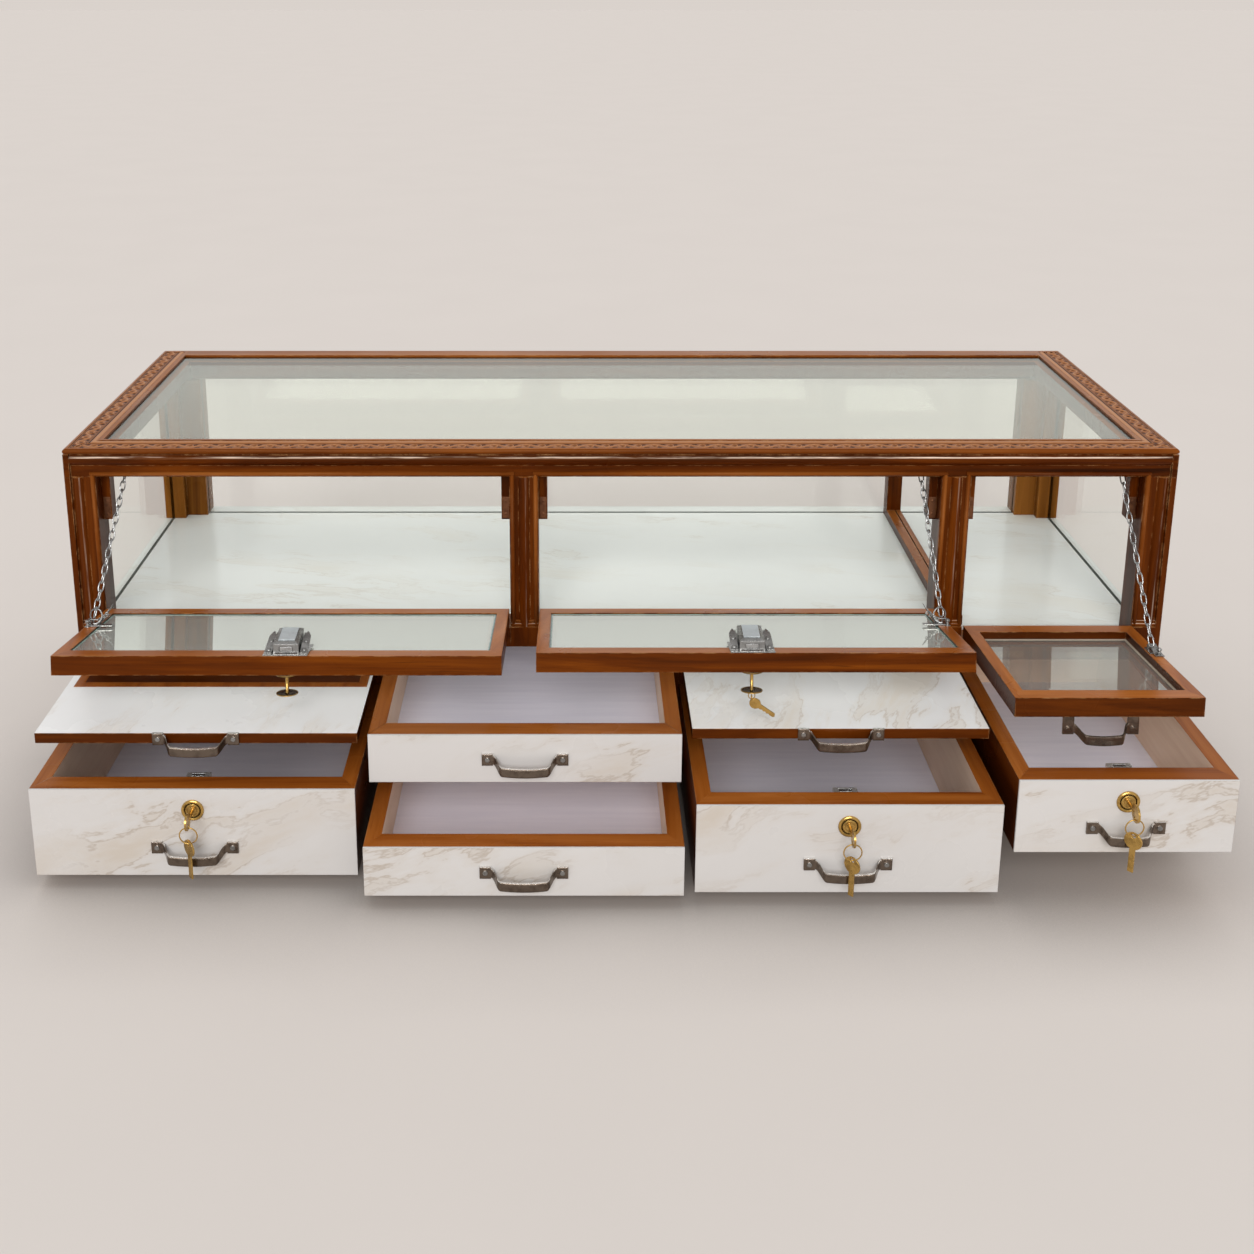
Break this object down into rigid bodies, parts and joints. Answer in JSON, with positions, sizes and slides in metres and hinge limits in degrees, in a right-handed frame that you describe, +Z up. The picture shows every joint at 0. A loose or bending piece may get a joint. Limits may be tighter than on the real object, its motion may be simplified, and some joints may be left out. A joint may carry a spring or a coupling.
{
  "type": "glazed display counter cabinet",
  "caption": "Low glass-topped shop display cabinet with drop-down glazed flaps on chains, pull-out slides and lockable drawers.",
  "frame": {"origin": "centre of the case's footprint on the floor, at the middle of its base", "axes": "+Z up, -Y towards the front where flaps and drawers open, +X to the right seen from the front"},
  "size_m": [1.524, 0.8575, 0.495],
  "materials": {
    "teak": "gloss varnish",
    "laminate": "satin",
    "glass": "polished",
    "nickel": "nickel plated",
    "brass": "polished",
    "bronze": "dark nickel"
  },
  "bodies": {
    "cabinet": {"top_rails": "teak", "top_glass": "glass", "case_glass": "glass", "front_posts": "teak", "back_posts": "teak", "stop_blocks": "teak", "partition_frame": "teak", "deck_board": "laminate", "front_rails": "teak", "case_panels": "teak", "runners": "teak", "flap_hinges": "brass", "chain_left": "nickel", "chain_middle": "nickel", "chain_right": "nickel"},
    "flap_left": {"flap_left_frame": "teak", "flap_left_glass": "glass", "flap_left_fittings": "nickel"},
    "flap_left_key": {"flap_left_key": "brass"},
    "flap_left_bolt": {"flap_left_bolt": "nickel"},
    "flap_middle": {"flap_middle_frame": "teak", "flap_middle_glass": "glass", "flap_middle_fittings": "nickel"},
    "flap_middle_key": {"flap_middle_key": "brass"},
    "flap_middle_bolt": {"flap_middle_bolt": "nickel"},
    "flap_right": {"flap_right_frame": "teak", "flap_right_glass": "glass", "flap_right_fittings": "nickel"},
    "flap_middle_spare_key": {"flap_middle_spare_key": "brass"},
    "slide_left": {"slide_left_board": "laminate", "slide_left_pull": "bronze"},
    "slide_mid_right": {"slide_mid_right_board": "laminate", "slide_mid_right_pull": "bronze"},
    "drawer_left": {"drawer_left_box": "teak", "drawer_left_front": "laminate", "drawer_left_pull": "bronze", "drawer_left_lock": "brass"},
    "drawer_mid_left_upper": {"drawer_mid_left_upper_box": "teak", "drawer_mid_left_upper_front": "laminate", "drawer_mid_left_upper_pull": "bronze"},
    "drawer_mid_left_lower": {"drawer_mid_left_lower_box": "teak", "drawer_mid_left_lower_front": "laminate", "drawer_mid_left_lower_pull": "bronze"},
    "drawer_mid_right": {"drawer_mid_right_box": "teak", "drawer_mid_right_front": "laminate", "drawer_mid_right_pull": "bronze", "drawer_mid_right_lock": "brass"},
    "drawer_right": {"drawer_right_box": "teak", "drawer_right_front": "laminate", "drawer_right_pull": "bronze", "drawer_right_lock": "brass"},
    "drawer_left_key": {"drawer_left_key": "brass"},
    "drawer_left_bolt": {"drawer_left_bolt": "nickel"},
    "drawer_left_spare_key": {"drawer_left_spare_key": "brass"},
    "drawer_mid_right_key": {"drawer_mid_right_key": "brass"},
    "drawer_mid_right_bolt": {"drawer_mid_right_bolt": "nickel"},
    "drawer_mid_right_spare_key": {"drawer_mid_right_spare_key": "brass"},
    "drawer_right_key": {"drawer_right_key": "brass"},
    "drawer_right_bolt": {"drawer_right_bolt": "nickel"},
    "drawer_right_spare_key": {"drawer_right_spare_key": "brass"}
  },
  "joints": [
    {"name": "flap_left_hinge", "type": "hinge", "parent": "cabinet", "child": "flap_left", "pos_m": [-0.437, -0.2585, 0.23052], "axis": [-1, 0, 0], "range_deg": [0, 80], "deforming": ["chain_left"]},
    {"name": "flap_left_key_turn", "type": "hinge", "parent": "flap_left", "child": "flap_left_key", "pos_m": [-0.42601, -0.46419, 0.27034], "axis": [0, 0.1736, 0.9848], "range_deg": [0, 90]},
    {"name": "flap_left_bolt_throw", "type": "slide", "parent": "flap_left", "child": "flap_left_bolt", "axis": [0, -0.9848, 0.1736], "range_m": [0, 0.014]},
    {"name": "flap_middle_hinge", "type": "hinge", "parent": "cabinet", "child": "flap_middle", "pos_m": [0.16448, -0.2585, 0.23052], "axis": [-1, 0, 0], "range_deg": [0, 79], "deforming": ["chain_middle"]},
    {"name": "flap_middle_key_turn", "type": "hinge", "parent": "flap_middle", "child": "flap_middle_key", "pos_m": [0.16048, -0.46346, 0.27393], "axis": [0, -0.1908, -0.9816], "range_deg": [0, 90]},
    {"name": "flap_middle_bolt_throw", "type": "slide", "parent": "flap_middle", "child": "flap_middle_bolt", "axis": [0, -0.9816, 0.1908], "range_m": [0, 0.014]},
    {"name": "flap_right_hinge", "type": "hinge", "parent": "cabinet", "child": "flap_right", "pos_m": [0.60148, -0.2585, 0.20552], "axis": [-1, 0, 0], "range_deg": [0, 85], "deforming": ["chain_right"]},
    {"name": "flap_middle_spare_key_swing", "type": "hinge", "parent": "flap_middle_key", "child": "flap_middle_spare_key", "pos_m": [0.16048, -0.46976, 0.24153], "axis": [-1, 0, 0], "range_deg": [-79, 0]},
    {"name": "slide_left_slide", "type": "slide", "parent": "cabinet", "child": "slide_left", "axis": [0, -1, 0], "range_m": [-0.233, 0.137]},
    {"name": "slide_mid_right_slide", "type": "slide", "parent": "cabinet", "child": "slide_mid_right", "axis": [0, -1, 0], "range_m": [-0.222, 0.148]},
    {"name": "drawer_left_slide", "type": "slide", "parent": "cabinet", "child": "drawer_left", "axis": [0, -1, 0], "range_m": [-0.269, 0.101]},
    {"name": "drawer_mid_left_upper_slide", "type": "slide", "parent": "cabinet", "child": "drawer_mid_left_upper", "axis": [0, -1, 0], "range_m": [-0.238, 0.132]},
    {"name": "drawer_mid_left_lower_slide", "type": "slide", "parent": "cabinet", "child": "drawer_mid_left_lower", "axis": [0, -1, 0], "range_m": [-0.311, 0.059]},
    {"name": "drawer_mid_right_slide", "type": "slide", "parent": "cabinet", "child": "drawer_mid_right", "axis": [0, -1, 0], "range_m": [-0.304, 0.066]},
    {"name": "drawer_right_slide", "type": "slide", "parent": "cabinet", "child": "drawer_right", "axis": [0, -1, 0], "range_m": [-0.31, 0.06]},
    {"name": "drawer_left_key_turn", "type": "hinge", "parent": "drawer_left", "child": "drawer_left_key", "pos_m": [-0.54, -0.526, 0.11331], "axis": [0, 1, 0], "range_deg": [0, 90]},
    {"name": "drawer_left_bolt_throw", "type": "slide", "parent": "drawer_left", "child": "drawer_left_bolt", "axis": [0, 0, 1], "range_m": [0, 0.008]},
    {"name": "drawer_left_spare_key_swing", "type": "hinge", "parent": "drawer_left_key", "child": "drawer_left_spare_key", "pos_m": [-0.54, -0.5505, 0.10681], "axis": [-1, 0, 0], "range_deg": [0, 40]},
    {"name": "drawer_mid_right_key_turn", "type": "hinge", "parent": "drawer_mid_right", "child": "drawer_mid_right_key", "pos_m": [0.274, -0.561, 0.11331], "axis": [0, 1, 0], "range_deg": [0, 90]},
    {"name": "drawer_mid_right_bolt_throw", "type": "slide", "parent": "drawer_mid_right", "child": "drawer_mid_right_bolt", "axis": [0, 0, 1], "range_m": [0, 0.008]},
    {"name": "drawer_mid_right_spare_key_swing", "type": "hinge", "parent": "drawer_mid_right_key", "child": "drawer_mid_right_spare_key", "pos_m": [0.274, -0.5855, 0.10681], "axis": [-1, 0, 0], "range_deg": [0, 40]},
    {"name": "drawer_right_key_turn", "type": "hinge", "parent": "drawer_right", "child": "drawer_right_key", "pos_m": [0.60949, -0.567, 0.15102], "axis": [0, 1, 0], "range_deg": [0, 90]},
    {"name": "drawer_right_bolt_throw", "type": "slide", "parent": "drawer_right", "child": "drawer_right_bolt", "axis": [0, 0, 1], "range_m": [0, 0.008]},
    {"name": "drawer_right_spare_key_swing", "type": "hinge", "parent": "drawer_right_key", "child": "drawer_right_spare_key", "pos_m": [0.60949, -0.5915, 0.14452], "axis": [-1, 0, 0], "range_deg": [0, 40]}
  ],
  "couplings": [
    {"joint": "flap_left_key_turn", "follows": "flap_left_bolt_throw", "rad_per_m": 112.2},
    {"joint": "flap_middle_key_turn", "follows": "flap_middle_bolt_throw", "rad_per_m": 112.2},
    {"joint": "flap_middle_spare_key_swing", "follows": "flap_middle_hinge", "ratio": -1},
    {"joint": "drawer_left_key_turn", "follows": "drawer_left_bolt_throw", "rad_per_m": 196.35},
    {"joint": "drawer_mid_right_key_turn", "follows": "drawer_mid_right_bolt_throw", "rad_per_m": 196.35},
    {"joint": "drawer_right_key_turn", "follows": "drawer_right_bolt_throw", "rad_per_m": 196.35}
  ]
}
